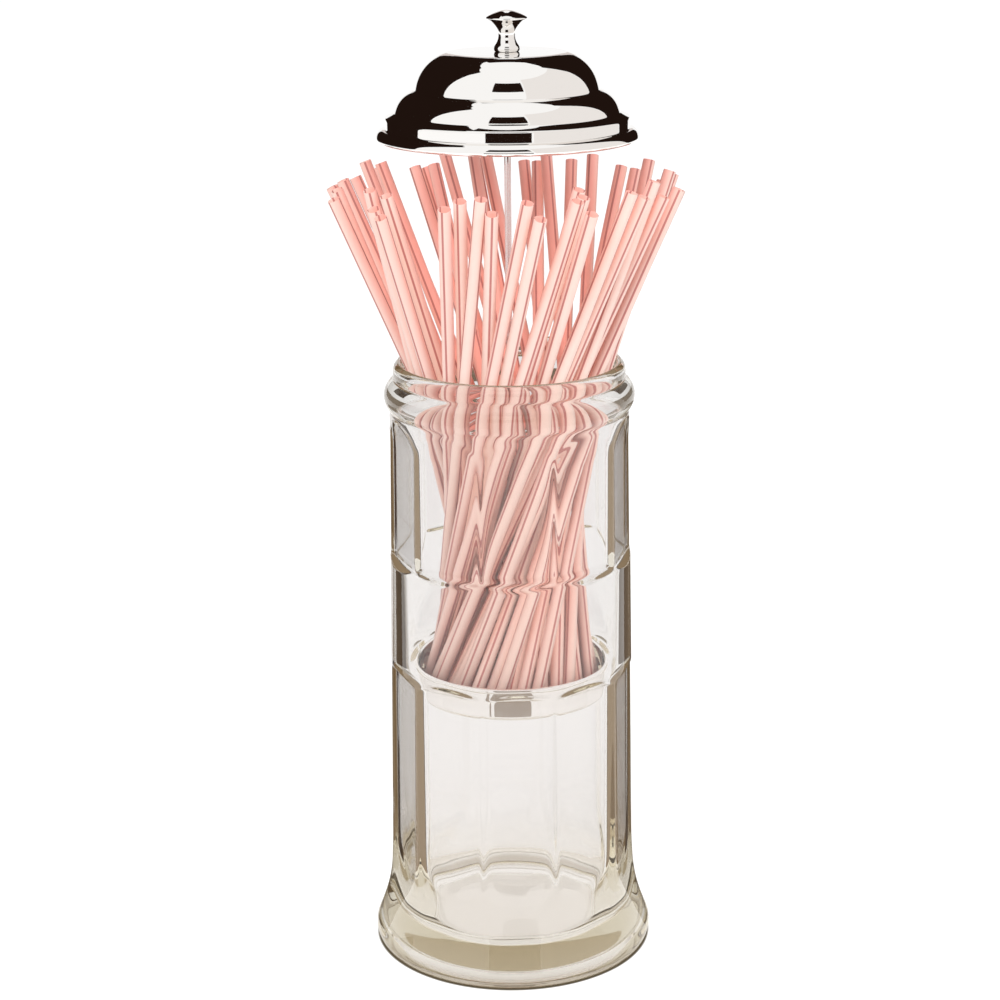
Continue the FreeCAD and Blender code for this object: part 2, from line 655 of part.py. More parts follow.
check(doc)
pieces = [jar, lid, knob, cup, lid_washer, lid_nut, cup_washer, cup_top_nut, under_nut, rod]
pieces += [doc.getObject(f"straw_{number:02d}") for number in range(1, len(straws) + 1)]
os.makedirs("parts", exist_ok=True)
for piece in pieces:
    if piece.Shape.isNull() or not piece.Shape.isValid():
        raise RuntimeError(f"{piece.Label} has no valid shape")
for piece in pieces:
    piece.Shape.exportStep(f"parts/{piece.Label}.step")
print(len(pieces), "pieces")
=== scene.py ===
import math

import bmesh
import bpy
import numpy as np
from mathutils import Euler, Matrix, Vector


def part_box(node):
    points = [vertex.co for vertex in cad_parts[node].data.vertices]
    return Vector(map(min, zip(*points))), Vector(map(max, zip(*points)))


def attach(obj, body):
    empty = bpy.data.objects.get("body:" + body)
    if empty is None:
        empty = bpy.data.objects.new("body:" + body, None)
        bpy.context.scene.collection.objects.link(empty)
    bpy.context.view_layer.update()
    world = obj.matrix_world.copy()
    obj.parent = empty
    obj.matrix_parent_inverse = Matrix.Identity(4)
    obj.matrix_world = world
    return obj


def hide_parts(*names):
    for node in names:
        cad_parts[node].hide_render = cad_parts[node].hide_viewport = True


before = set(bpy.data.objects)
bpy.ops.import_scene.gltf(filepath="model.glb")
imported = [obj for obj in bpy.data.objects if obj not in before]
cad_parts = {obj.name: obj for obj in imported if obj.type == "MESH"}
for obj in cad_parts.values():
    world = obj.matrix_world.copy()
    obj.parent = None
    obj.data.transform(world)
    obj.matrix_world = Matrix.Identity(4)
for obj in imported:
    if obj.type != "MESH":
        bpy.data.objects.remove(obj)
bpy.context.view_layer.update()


# ------------------------------------------------------------------ glass jar
# The jar is pressed soda glass in one piece, with a bead and a lip at the mouth, ten flat
# panels above and below a smooth band, and a thick flared foot. Its edges are rounded by
# the fire polish, and the glass has a faint olive tint where it is thick.

class Wire:
    """A socket of a finish. Arithmetic on it adds Math nodes."""

    def __init__(self, finish, socket):
        self.finish, self.socket = finish, socket

    def __add__(self, other):
        return self.finish.math("ADD", self, other)

    def __sub__(self, other):
        return self.finish.math("SUBTRACT", self, other)

    def __rsub__(self, other):
        return self.finish.math("SUBTRACT", other, self)

    def __mul__(self, other):
        return self.finish.math("MULTIPLY", self, other)

    __radd__ = __add__
    __rmul__ = __mul__


class Finish:
    """A procedural material or world: plain values on its shader, and the nodes that vary
    it."""

    def __init__(self, name, plain, kind="materials", shader="Principled BSDF"):
        self.data = getattr(bpy.data, kind).new(name)
        self.data.use_nodes = True
        self.tree = self.data.node_tree
        self.shader = self.tree.nodes[shader]
        self.own = Wire(self, self.shader.outputs[0])
        self.vary(plain)

    def feed(self, node, inputs):
        """Give a node's sockets their values or links."""
        for socket, value in inputs.items():
            if isinstance(value, Wire):
                self.tree.links.new(value.socket, node.inputs[socket])
            else:
                node.inputs[socket].default_value = value

    def vary(self, inputs):
        """Give the shader's sockets plain values, or links where they change."""
        self.feed(self.shader, inputs)

    def add(self, kind, settings=None, inputs=None, output=0):
        """Add a node, its settings first, and give one of its outputs."""
        node = self.tree.nodes.new(kind)
        for setting, value in (settings or {}).items():
            setattr(node, setting, value)
        self.feed(node, inputs or {})
        return Wire(self, node.outputs[output])

    def math(self, operation, *terms):
        """A Math node on values and sockets."""
        return self.add("ShaderNodeMath", {"operation": operation}, dict(enumerate(terms)))

    def colour(self, share, first, second):
        """The colour at a share of the way from the first one to the second."""
        return self.add("ShaderNodeMix", {"data_type": "RGBA"},
                        {0: share, 6: first, 7: second}, output=2)

    def ramp(self, value, start, end, kind="LINEAR"):
        """Rise from 0 to 1 while a value goes from start to end."""
        return self.add("ShaderNodeMapRange", {"interpolation_type": kind},
                        {"Value": value, "From Min": start, "From Max": end})

    def reach(self, place):
        """How far a place is from the origin."""
        return self.add("ShaderNodeVectorMath", {"operation": "LENGTH"}, {0: place},
                        output="Value")

    def light(self, *outputs):
        """What kind of light arrives, and what it has met: outputs of a Light Path node."""
        path = self.add("ShaderNodeLightPath").socket.node
        return [Wire(self, path.outputs[output]) for output in outputs]

    def layer(self, share, under, over):
        """Make the surface one shader, with a share of another over it."""
        mixed = self.add("ShaderNodeMixShader", None, {0: share, 1: under, 2: over})
        self.feed(self.tree.nodes["Material Output"], {"Surface": mixed})


def bow(start, via, end, count=24):
    """Points of the arc through three points of the (radius, height) plane.

    The centre c solves |start - c| = |via - c| = |end - c|, and the angle runs evenly from
    start to end on the side of via.
    """
    start, via, end = (np.array(point, float) for point in (start, via, end))
    sides = 2 * np.array([via - start, end - start])
    centre = np.linalg.solve(sides, [via @ via - start @ start, end @ end - start @ start])
    first, middle, last = (math.atan2(*(point - centre)[::-1]) for point in (start, via, end))
    turn = (last - first) % math.tau
    if (middle - first) % math.tau > turn:
        turn -= math.tau
    angles = first + turn * np.linspace(0, 1, count)
    return centre + np.hypot(*(start - centre)) * np.column_stack([np.cos(angles),
                                                                   np.sin(angles)])


def outline(*runs):
    """Join points and runs of points into one outline of the (radius, height) plane."""
    return np.vstack([np.atleast_2d(run) for run in runs])


def softened(points, sigma, ring, step=0.00012):
    """Round an outline's corners: even steps along it, averaged with a Gaussian of sigma."""
    line = np.vstack([points, points[:1]]) if ring else points
    along = np.r_[0, np.cumsum(np.hypot(*np.diff(line, axis=0).T))]
    places = np.linspace(0, along[-1], int(along[-1] / step) + 1)
    even = np.column_stack([np.interp(places, along, line[:, axis]) for axis in (0, 1)])
    reach = max(1, int(4 * sigma / step))
    weights = np.exp(-0.5 * (np.arange(-reach, reach + 1) * step / sigma) ** 2)
    weights /= weights.sum()
    if ring:
        even = even[:-1]
        padded = np.vstack([even[-reach:], even, even[:reach]])
    else:
        padded = np.vstack([2 * even[0] - even[reach:0:-1], even,
                            2 * even[-1] - even[-2:-reach - 2:-1]])
    return np.column_stack([np.convolve(padded[:, axis], weights, "valid")
                            for axis in (0, 1)])


def stations(points, turn, reach):
    """Keep a point of a fine outline each time its turning or its length adds up to a step."""
    steps = np.diff(points, axis=0)
    heading = np.unwrap(np.arctan2(steps[:, 1], steps[:, 0]))
    bends = np.abs(np.r_[0, np.diff(heading)])
    used = np.cumsum(bends / math.radians(turn) + np.hypot(*steps.T) / reach)
    keep = np.r_[0, 1 + np.flatnonzero(np.diff(np.floor(used))), len(points) - 1]
    return points[np.unique(keep)]


def skin(name, grid, ring=False, uv=None):
    """Mesh of a grid of points: rows run along the outline, columns run round and close.

    Rows close too where ring is set, and rows that shrink to a point are merged there.
    """
    rows, columns = grid.shape[:2]
    row, column = np.meshgrid(np.arange(rows if ring else rows - 1), np.arange(columns),
                              indexing="ij")
    below, beside = (row + 1) % rows, (column + 1) % columns
    quads = np.stack([row * columns + column, row * columns + beside,
                      below * columns + beside, below * columns + column], -1).reshape(-1, 4)
    mesh = bpy.data.meshes.new(name)
    mesh.from_pydata(grid.reshape(-1, 3).tolist(), [], quads.tolist())
    if uv is not None:
        corners = np.stack([uv[row, column], uv[row, column + 1],
                            uv[below, column + 1], uv[below, column]], -2)
        mesh.uv_layers.new(name="UVMap").data.foreach_set(
            "uv", corners.astype(np.float32).ravel())
    shell = bmesh.new()
    shell.from_mesh(mesh)
    bmesh.ops.remove_doubles(shell, verts=shell.verts, dist=1e-7)
    shell.to_mesh(mesh)
    shell.free()
    mesh.shade_smooth()
    return mesh


def fit(name, mesh, finish, slot, body, *nodes):
    """Make a piece of a mesh: its finish, its body, and the nodes that it stands for."""
    piece = bpy.data.objects.new(name, mesh)
    bpy.context.scene.collection.objects.link(piece)
    mesh.materials.append(finish.data)
    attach(piece, body)
    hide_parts(*nodes)
    return piece


def turned(points, columns):
    """Grid of an outline turned about the Z axis: (r cos a, r sin a, z)."""
    around = np.linspace(0, math.tau, columns, endpoint=False)
    radius, height = points[:, :1], points[:, 1:]
    return np.stack([radius * np.cos(around), radius * np.sin(around),
                     np.broadcast_to(height, (len(points), columns))], -1)


JAR_TOP = 0.2374
SHOULDER = 0.2192
BEAD_TOP = 0.2308
PANELS = 10
HALF_PANEL = math.pi / PANELS
FIRST_PANEL = math.radians(21.4)
SHOULDER_RADIUS, NARROWING, FLARE_TOP = 0.0459, 0.0027, 0.034
BAND_LOW, BAND_HIGH = 0.1175, 0.1594
PANEL_FADE, PANEL_END = 0.042, 0.014
STRAIGHT_LOW, STRAIGHT_HIGH = 0.035, 0.2185
# radius and height of the lining's ends
LINING_LOW, LINING_HIGH = (0.0394, 0.0175), (0.0404, 0.2354)


def wall_radius(height):
    """Radius of the round body: it narrows evenly from the flare to the shoulder."""
    return SHOULDER_RADIUS + NARROWING * (SHOULDER - height) / (SHOULDER - FLARE_TOP)


def panel_distance(height):
    """How far the flat panels stand from the axis at each height.

    A panel's edges lie on the round body. Each tier ends at the band in a ledge at 45
    degrees, the upper one ends in an arch (a parabola that leaves the body) and the lower
    one bends outwards and fades into the flare.
    """
    face = wall_radius(height) * math.cos(HALF_PANEL)
    ledge = wall_radius(BAND_HIGH) * (1 - math.cos(HALF_PANEL))
    arch = SHOULDER - 0.0137
    depth = wall_radius(arch) * (1 - math.cos(HALF_PANEL))
    face = face + depth * np.clip((height - arch) / 0.011, 0, None) ** 2
    face = face + 0.0062 * np.clip((PANEL_FADE - height) / (PANEL_FADE - PANEL_END), 0, 2) ** 2
    into_band = np.minimum(BAND_HIGH + ledge - height, height - BAND_LOW + ledge)
    return face + np.clip(into_band, 0, 2 * ledge)


def faceted(heights, turn, round_radius, blur, soft):
    """Radius of the panelled wall: the soft minimum, -soft ln(sum of exp(-r / soft)), of the
    round body's radius and the two nearest panels' distances over the cosine of the turn
    from their middles. The distances are averaged over the height with a Gaussian of blur.
    """
    spread = np.linspace(-3, 3, 13)
    weight = np.exp(-0.5 * spread ** 2)
    distance = (panel_distance(heights[:, None] + blur * spread) * weight).sum(1)
    distance = (distance / weight.sum())[:, None]
    reaches = np.stack([np.broadcast_to(round_radius[:, None], (len(heights), len(turn))),
                        distance / np.cos(turn),
                        distance / np.cos(2 * HALF_PANEL - np.abs(turn))])
    nearest = reaches.min(0)
    return nearest - soft * np.log(np.exp(-(reaches - nearest) / soft).sum(0))


def with_wall(points, wall):
    """Put a wall's own points in place of an outline's straight run."""
    straight = (points[:, 1] > STRAIGHT_LOW) & (points[:, 1] < STRAIGHT_HIGH)
    split = int(np.argmax(straight))
    return np.vstack([points[:split], wall, points[split:][~straight[split:]]])


def jar_grid(columns_per_panel=32):
    """The jar as one closed surface, from the hollow under the foot to the cavity's floor.

    The columns crowd at the panels' edges: turn = half a panel x (t + 0.6 sin(pi t) / pi)
    for t from -1 to 1. The lining follows the panels and ledges a little more softly, as
    the wall keeps its thickness: its radius is the round lining's and 0.9 of what the
    outside stands proud of the panels' planes, faded out at the mouth and the foot.
    """
    outside = softened(outline(
        (0.0, 0.0018), (0.0432, 0.0018), (0.045, 0.0),
        (0.0533, 0.0), bow((0.0533, 0.0), (0.05444, 0.00046), (0.0549, 0.0016), 6),
        bow((0.0549, 0.0016), (0.0554, 0.0044), (0.0549, 0.0072)),
        bow((0.0549, 0.0072), (0.0502, 0.0206), (0.0486, FLARE_TOP), 40),
        (SHOULDER_RADIUS, SHOULDER),
        bow((SHOULDER_RADIUS, SHOULDER), (0.0479, 0.225), (0.044, BEAD_TOP)),
        bow((0.044, BEAD_TOP), (0.0444, 0.2331), (0.04382, 0.23598)),
        (0.0424, JAR_TOP)), 0.00055, False)
    inside = softened(outline(
        (0.0424, JAR_TOP), bow((0.0424, JAR_TOP), (0.04099, 0.23681), LINING_HIGH),
        LINING_LOW, bow(LINING_LOW, (0.03676, 0.01114), (0.0304, 0.0085), 40),
        (0.0, 0.0085)), 0.0005, False)
    heights = np.r_[np.arange(0.036, 0.113, 0.005), np.arange(0.113, 0.122, 0.0005),
                    np.arange(0.122, 0.155, 0.005), np.arange(0.155, 0.164, 0.0005),
                    np.arange(0.164, 0.203, 0.004), np.arange(0.203, 0.2185, 0.0007)]
    rows = with_wall(stations(outside, 5, 0.0042),
                     np.column_stack([wall_radius(heights), heights]))

    t = (np.arange(columns_per_panel) + 0.5) / columns_per_panel * 2 - 1
    turn = np.tile(HALF_PANEL * (t + 0.6 * np.sin(math.pi * t) / math.pi), PANELS)
    middles = FIRST_PANEL + 2 * HALF_PANEL * np.arange(PANELS)
    around = np.repeat(middles, columns_per_panel) + turn

    panelled = (rows[:, 1] > PANEL_END) & (rows[:, 1] < SHOULDER)
    wall = faceted(rows[:, 1], turn, rows[:, 0], 0.0004, 0.00022)
    radius = np.where(panelled[:, None], wall, rows[:, :1])

    bore = np.interp(heights, (LINING_LOW[1], LINING_HIGH[1]), (LINING_LOW[0], LINING_HIGH[0]))
    lining = with_wall(stations(inside, 6, 0.005)[1:], np.column_stack([bore, heights])[::-1])
    level = lining[:, 1]
    fade = np.clip((level - 0.022) / 0.02, 0, 1) * np.clip((0.234 - level) / 0.015, 0, 1)
    fade = fade * fade * (3 - 2 * fade)
    proud = faceted(level, turn, wall_radius(level), 0.0013, 0.0005)
    proud = proud - (wall_radius(level) * math.cos(HALF_PANEL))[:, None]
    radius = np.vstack([radius, lining[:, :1] + 0.9 * fade[:, None] * proud])
    heights = np.r_[rows[:, 1], level]
    return np.stack([radius * np.cos(around), radius * np.sin(around),
                     np.broadcast_to(heights[:, None], radius.shape)], -1)


CLEAR_GLASS, GLASS_EDGE_SHADE = (0.974, 0.960, 0.960, 1), (0.40, 0.33, 0.25, 1)
# Painted shade: the glass's colour is painted dark where it is seen at a grazing angle, and at
# the foot's lower corner, for the dark edges that refraction shows there: the values between
# which it does, and the corner's share.
GRAZING = (0.76, 0.92)
CORNER_REACH, CORNER_HEIGHT, CORNER_SHARE = (0.0515, 0.0535), (0.0075, 0.0035), 0.85
# counts of mirrorings and of all turns past which light is lost in the foot
LOST_MIRRORINGS, LOST_TURNS = 2.5, 8.5

glass = Finish("pressed_glass", {"Base Color": CLEAR_GLASS, "Roughness": 0.01, "IOR": 1.5,
                                 "Transmission Weight": 1.0})
place = glass.add("ShaderNodeTexCoord", output="Object")
ripple = glass.add("ShaderNodeTexNoise", None, {"Vector": place, "Scale": 42.0, "Detail": 1.0})
grazing = glass.add("ShaderNodeLayerWeight", None, {"Blend": 0.5}, output="Facing")
height = glass.add("ShaderNodeSeparateXYZ", None, {0: place}, output="Z")
corner = glass.ramp(glass.reach(place), *CORNER_REACH) * glass.ramp(height, *CORNER_HEIGHT)
# the painted shade at the grazing edges and at the foot's lower corner
edge = glass.math("MAXIMUM", glass.ramp(grazing, *GRAZING), corner * CORNER_SHARE)
glass.vary({
    "Base Color": glass.colour(edge, CLEAR_GLASS, GLASS_EDGE_SHADE),
    "Normal": glass.add("ShaderNodeBump", None, {
        "Strength": 0.05, "Distance": 0.0012, "Height": ripple})})
# Light that falls on the straws or casts a shadow passes the glass straight, nearly clear.
# Light that the thick foot has thrown about many times leaves it straight, with the tint of
# its long way.
shadow, scattered, mirrored, turns = glass.light("Is Shadow Ray", "Is Diffuse Ray",
                                                 "Glossy Depth", "Ray Depth")
lighting = glass.math("MAXIMUM", shadow, scattered)
lost = glass.math("MAXIMUM", glass.math("GREATER_THAN", mirrored, LOST_MIRRORINGS),
                  glass.math("GREATER_THAN", turns, LOST_TURNS))
straight = glass.add("ShaderNodeBsdfTransparent", None, {
    "Color": glass.colour(lighting, (0.83, 0.79, 0.72, 1), (0.98, 0.97, 0.96, 1))})
glass.layer(glass.math("MAXIMUM", lost, lighting), glass.own, straight)
glass.feed(glass.tree.nodes["Material Output"], {
    "Volume": glass.add("ShaderNodeVolumeAbsorption", None, {
        "Color": (0.80, 0.76, 0.62, 1), "Density": 14.0})})
fit("glass_jar_pressed", skin("glass_jar_pressed", jar_grid()), glass, "clear_glass",
    "jar", "glass_jar")


# ------------------------------------------------------------------ lifter cup
# A shallow cup drawn from steel sheet and chromed, with a rolled rim and a hole for the
# rod. The straws stand on its floor.

CUP_BASE, CUP_TOP = 0.1048, 0.1183

chrome = Finish("chrome_plate", {"Base Color": (0.93, 0.91, 0.885, 1), "Metallic": 1.0,
                                 "Roughness": 0.035})
cup_outline = outline(
    (0.0015, CUP_BASE), (0.0348, CUP_BASE),
    bow((0.0348, CUP_BASE), (0.03657, CUP_BASE + 0.00073), (0.0373, CUP_BASE + 0.0025)),
    (0.0373, CUP_TOP - 0.0022),
    bow((0.0373, CUP_TOP - 0.0022), (0.0383, CUP_TOP - 0.0011), (0.0373, CUP_TOP), 16),
    (0.0367, CUP_TOP - 0.0006), (0.0367, CUP_BASE + 0.0025),
    bow((0.0367, CUP_BASE + 0.0025), (0.03614, CUP_BASE + 0.00116),
        (0.0348, CUP_BASE + 0.0006)),
    (0.0015, CUP_BASE + 0.0006))
fit("lifter_cup_drawn",
    skin("lifter_cup_drawn", turned(stations(softened(cup_outline, 0.00012, True), 9, 0.004),
                                    192), ring=True),
    chrome, "cup_chrome", "lid_insert", "lifter_cup")


# ------------------------------------------------------------------ lift rod
# A drawn steel rod with a cut thread at each end: the upper one in the knob and the
# lock nut, the lower one in the two nuts that clamp the cup.

bright_steel = Finish("drawn_steel", {"Base Color": (0.80, 0.79, 0.78, 1), "Metallic": 1.0,
                                      "Roughness": 0.08})
ROD_LOW, ROD_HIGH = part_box("lift_rod")[0].z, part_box("lift_rod")[1].z


def rod_outline():
    """The rod's outline: a thread is a triangle wave of 0.45 mm pitch on the radius."""
    heights = np.r_[np.arange(ROD_LOW + 0.0003, ROD_LOW + 0.009, 0.00011),
                    np.linspace(ROD_LOW + 0.0092, ROD_HIGH - 0.0152, 8),
                    np.arange(ROD_HIGH - 0.015, ROD_HIGH - 0.0003, 0.00011)]
    wave = np.abs(((heights / 0.00045) % 1) * 2 - 1)
    threaded = (heights < ROD_LOW + 0.009) | (heights > ROD_HIGH - 0.0151)
    radius = 0.00125 - np.where(threaded, 0.00022 * wave, 0)
    return outline((0, ROD_LOW), (0.00095, ROD_LOW), np.column_stack([radius, heights]),
                   (0.00095, ROD_HIGH), (0, ROD_HIGH))


fit("lift_rod_drawn", skin("lift_rod_drawn", turned(rod_outline(), 32)), bright_steel,
    "rod_steel", "lid_insert", "lift_rod")


# ------------------------------------------------------------------ nuts and washers
# Bought steel fasteners: two nuts clamp the cup between them over a wide washer, and
# one nut with a washer clamps the lid against the knob.

zinc = Finish("zinc_steel", {"Base Color": (0.55, 0.54, 0.52, 1), "Metallic": 1.0,
                             "Roughness": 0.3})


def nut_grid(base, columns=96):
    """A hexagon nut: the radius is the least of the flats' distance over the cosine of the
    turn from the flat's middle and a cone that chamfers the corners at both faces."""
    rise = np.array([0, 0, 0.0001, 0.0003, 0.0006, 0.0014, 0.0017, 0.0019, 0.002, 0.002])
    cone = np.array([0.0014, 0.0024, 0.00252, 0.0028, 0.0032, 0.0032, 0.0028, 0.00252, 0.0024,
                     0.0014])
    around = np.linspace(0, math.tau, columns, endpoint=False)
    flat = 0.0025 / np.cos((around + math.pi / 6) % (math.pi / 3) - math.pi / 6)
    radius = np.minimum(cone[:, None], flat)
    return np.stack([radius * np.cos(around), radius * np.sin(around),
                     np.broadcast_to((base + rise)[:, None], radius.shape)], -1)


def washer_grid(base, reach):
    """A flat washer: a ring with its outer edges a little rounded by the punch."""
    points = outline((0.0015, base), (reach - 0.00012, base), (reach, base + 0.00012),
                     (reach, base + 0.0005), (reach - 0.00008, base + 0.0006),
                     (0.0015, base + 0.0006))
    return turned(points, 96)


for node, reach in (("lid_washer", 0.003), ("cup_washer", 0.005)):
    grid = washer_grid(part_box(node)[0].z, reach)
    fit(node + "_punched", skin(node + "_punched", grid, ring=True), zinc,
        "fastener_steel", "lid_insert", node)
for node in ("lid_lock_nut", "cup_top_nut", "cup_under_nut"):
    grid = nut_grid(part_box(node)[0].z)
    fit(node + "_cut", skin(node + "_cut", grid, ring=True), zinc, "fastener_steel",
        "lid_insert", node)


# ------------------------------------------------------------------ domed lid
# The lid is spun from one steel sheet over a former and chromed: a flat top, two domes
# with a crease between them, a ledge, an upright skirt and a rolled rim.

RIM = 0.3212


def above_rim(*points):
    """Points given as radius and height above the rim, in millimetres."""
    return np.array([(radius / 1000, RIM + rise / 1000) for radius, rise in points])


lid_outline = outline(
    above_rim((1.5, 31.3), (22.02, 31.1)),
    bow(*above_rim((22.02, 31.1), (29.83, 26.29), (33.7, 17.92))),
    bow(*above_rim((33.7, 17.92), (38.82, 14.6), (41.4, 9.4))),
    above_rim((44.45, 8.0), (44.8, 7.72), (44.8, 4.2)),
    bow(*above_rim((44.8, 4.2), (45.46, 2.4), (46.6, 1.08)), 10),
    bow(*above_rim((46.6, 1.08), (47.8, 0.0), (49.0, 1.08)), 12),
    bow(*above_rim((49.0, 1.08), (47.9, 3.3), (45.4, 4.2)), 12),
    bow(*above_rim((45.4, 7.9), (45.2, 8.4), (44.7, 8.6)), 6),
    bow(*above_rim((42.0, 10.0), (39.24, 15.08), (34.3, 18.1))),
    bow(*above_rim((34.3, 18.1), (30.25, 26.71), (22.2, 31.7))),
    above_rim((1.5, 31.9)))
fit("lid_dome_spun",
    skin("lid_dome_spun", turned(stations(softened(lid_outline, 0.00022, True), 7, 0.003),
                                 256), ring=True),
    chrome, "lid_chrome", "lid_insert", "lid_dome")


# ------------------------------------------------------------------ knob
# The knob is turned from bar and chromed. It has a foot, a waist and a mushroom cap, and
# it screws down the rod onto the lid.

KNOB_BASE = RIM + 0.0319


def above_lid(*points):
    """Points given as radius and height above the lid's top, in millimetres."""
    return np.array([(radius / 1000, KNOB_BASE + rise / 1000) for radius, rise in points])


knob_outline = outline(
    above_lid((1.3, 0.0), (4.42, 0.0)),
    bow(*above_lid((4.42, 0.0), (4.75, 0.78), (4.42, 2.21)), 10),
    bow(*above_lid((4.42, 2.21), (3.1, 5.34), (3.67, 8.35)), 20),
    bow(*above_lid((3.67, 8.35), (4.97, 9.94), (7.31, 11.6)), 14),
    bow(*above_lid((7.31, 11.6), (7.65, 12.06), (7.34, 12.49)), 12),
    bow(*above_lid((7.34, 12.49), (5.13, 13.65), (0.99, 14.9)), 12),
    above_lid((0.0, 14.9)))
bore = above_lid((1.3, 7.4), (1.3, 0.0))
knob_skin = outline(bore, stations(softened(knob_outline, 0.00016, False), 7, 0.002)[1:])
knob_grid = turned(outline(above_lid((0.0, 7.4)), knob_skin), 128)
fit("knob_turned", skin("knob_turned", knob_grid), chrome, "knob_chrome", "lid_insert",
    "knob")


# ------------------------------------------------------------------ drinking straws
# Extruded plastic tubes, pale pink and a little see-through, with a fine red line on
# each side. They are cut off square and stand in the cup as they were dropped in.

LINE_WIDTH = 0.045

straw_plastic = Finish("straw_plastic_milky", {"Roughness": 0.3, "IOR": 1.46})
around = straw_plastic.add("ShaderNodeSeparateXYZ", None, {
    0: straw_plastic.add("ShaderNodeUVMap", {"uv_map": "UVMap"})}, output="X")


def line_at(share):
    """A mask that is 1 on a lengthwise line at a share of the way round, with soft sides."""
    gap = straw_plastic.math("FRACT", around + (1.5 - share)) - 0.5
    return 1 - straw_plastic.ramp(straw_plastic.math("ABSOLUTE", gap), 0.45 * LINE_WIDTH,
                                  0.75 * LINE_WIDTH, "SMOOTHSTEP")


lines = line_at(0.12) + line_at(0.45) + line_at(0.78)
# painted light and shade: each straw is painted pale on the side that faces out of the bundle
# and deep salmon on the side that faces into it
painted_bundle_light = straw_plastic.add("ShaderNodeAttribute", {"attribute_name": "painted_bundle_light"}, output="Fac")
body_colour_and_light = straw_plastic.colour(painted_bundle_light, (0.94, 0.41, 0.345, 1), (0.885, 0.65, 0.575, 1))
straw_plastic.vary({"Base Color": straw_plastic.colour(lines, body_colour_and_light,
                                                       (0.52, 0.19, 0.17, 1))})
# the milky plastic lets light through to the straws behind
shadow, scattered = straw_plastic.light("Is Shadow Ray", "Is Diffuse Ray")
straw_plastic.layer(straw_plastic.math("MAXIMUM", shadow, scattered) * 0.97, straw_plastic.own,
                    straw_plastic.add("ShaderNodeBsdfTransparent", None, {
                        "Color": (1.0, 0.92, 0.89, 1)}))

STRAW_RADIUS, STRAW_WALL = 0.00235, 0.00025


def straw_grid(start, along, length, turn, columns=28):
    """A tube carried along its axis, with its cut edges a little rounded, as one closed
    ring of rows: the bore upwards, over the top edge, down the outside and under."""
    level = np.cross(along, (0.0, 0.0, 1.0))
    level /= np.linalg.norm(level)
    across = np.cross(along, level)
    angle = turn + np.linspace(0, math.tau, columns, endpoint=False)
    ray = (np.cos(angle)[:, None] * level + np.sin(angle)[:, None] * across)
    inner, edge = STRAW_RADIUS - STRAW_WALL, 0.00006
    reaches = np.r_[inner + edge, inner, inner, inner, inner + edge, STRAW_RADIUS - edge,
                    STRAW_RADIUS, STRAW_RADIUS, STRAW_RADIUS, STRAW_RADIUS - edge]
    places = np.r_[0, edge, 0.5 * length, length - edge, length, length, length - edge,
                   0.5 * length, edge, 0]
    return start + places[:, None, None] * along + reaches[:, None, None] * ray


def straw_painted_light(grid, shift):
    """Painted light and shade of the plastic: 1, painted pale, on the side of a straw that
    faces out of the bundle, 0, painted deep salmon, on the side that faces into it, for the
    light that has come through many straws there.

    It is half of 1 + (the tube's ray . the way out from the rod), less near the rod.
    """
    middles = grid.mean(1, keepdims=True)
    ray = grid - middles
    ray /= np.linalg.norm(ray, axis=-1, keepdims=True)
    reach = np.hypot(middles[..., 0], middles[..., 1])
    facing = (ray[..., 0] * middles[..., 0] + ray[..., 1] * middles[..., 1]) / reach
    return np.clip(0.5 + 0.55 * facing * np.clip(reach / 0.02, 0, 1) + shift, 0, 1)


rng = np.random.default_rng(11)
for node in sorted(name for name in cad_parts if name.startswith("straw_")):
    corners = np.array([vertex.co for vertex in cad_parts[node].data.vertices])
    corners = np.unique(np.round(corners, 6), axis=0)
    middle = corners.mean(0)
    along = np.linalg.svd(corners - middle, full_matrices=False)[2][0]
    along *= np.sign(along[2])
    share = (corners - middle) @ along
    start, end = (corners[pick].mean(0) for pick in (share < 0, share > 0))
    length = np.linalg.norm(end - start)
    grid = straw_grid(start, (end - start) / length, length, rng.uniform(0, math.tau))
    rows, columns = grid.shape[:2]
    uv = np.stack(np.broadcast_arrays(np.linspace(0, 1, columns + 1)[None, :],
                                      np.linspace(0, 1, rows)[:, None]), -1)
    mesh = skin(node + "_tube", grid, ring=True, uv=uv)
    # the painted light and shade, at each point of the tube
    mesh.attributes.new("painted_bundle_light", "FLOAT", "POINT").data.foreach_set(
        "value", straw_painted_light(grid, rng.uniform(-0.12, 0.12)).astype(np.float32).ravel())
    fit(node + "_tube", mesh, straw_plastic, "straw_plastic", node + "_body", node)


# ------------------------------------------------------------------ studio
# A pale floor, a white surround that metal and glass see, dark screens that draw the edges
# of the chrome and the glass, and soft lamps at a plain level.

def backdrop(name, grid, paint):
    """A part of the studio from an open grid of points."""
    rows, columns = grid.shape[:2]
    corner = np.arange(rows * columns).reshape(rows, columns)
    quads = np.stack([corner[:-1, :-1], corner[:-1, 1:], corner[1:, 1:], corner[1:, :-1]], -1)
    mesh = bpy.data.meshes.new(name)
    mesh.from_pydata(grid.reshape(-1, 3).tolist(), [], quads.reshape(-1, 4).tolist())
    mesh.materials.append(paint.data)
    piece = bpy.data.objects.new(name, mesh)
    bpy.context.scene.collection.objects.link(piece)
    return piece


# least and greatest counts of the glass faces that light has crossed, or of its mirrorings
NEVER, UP_TO_TWO, ONE_OR_TWO = (0, 0), (0, 2), (1, 2)
ANY, SOME, LOST = (0, 99), (1, 99), (3, 99)


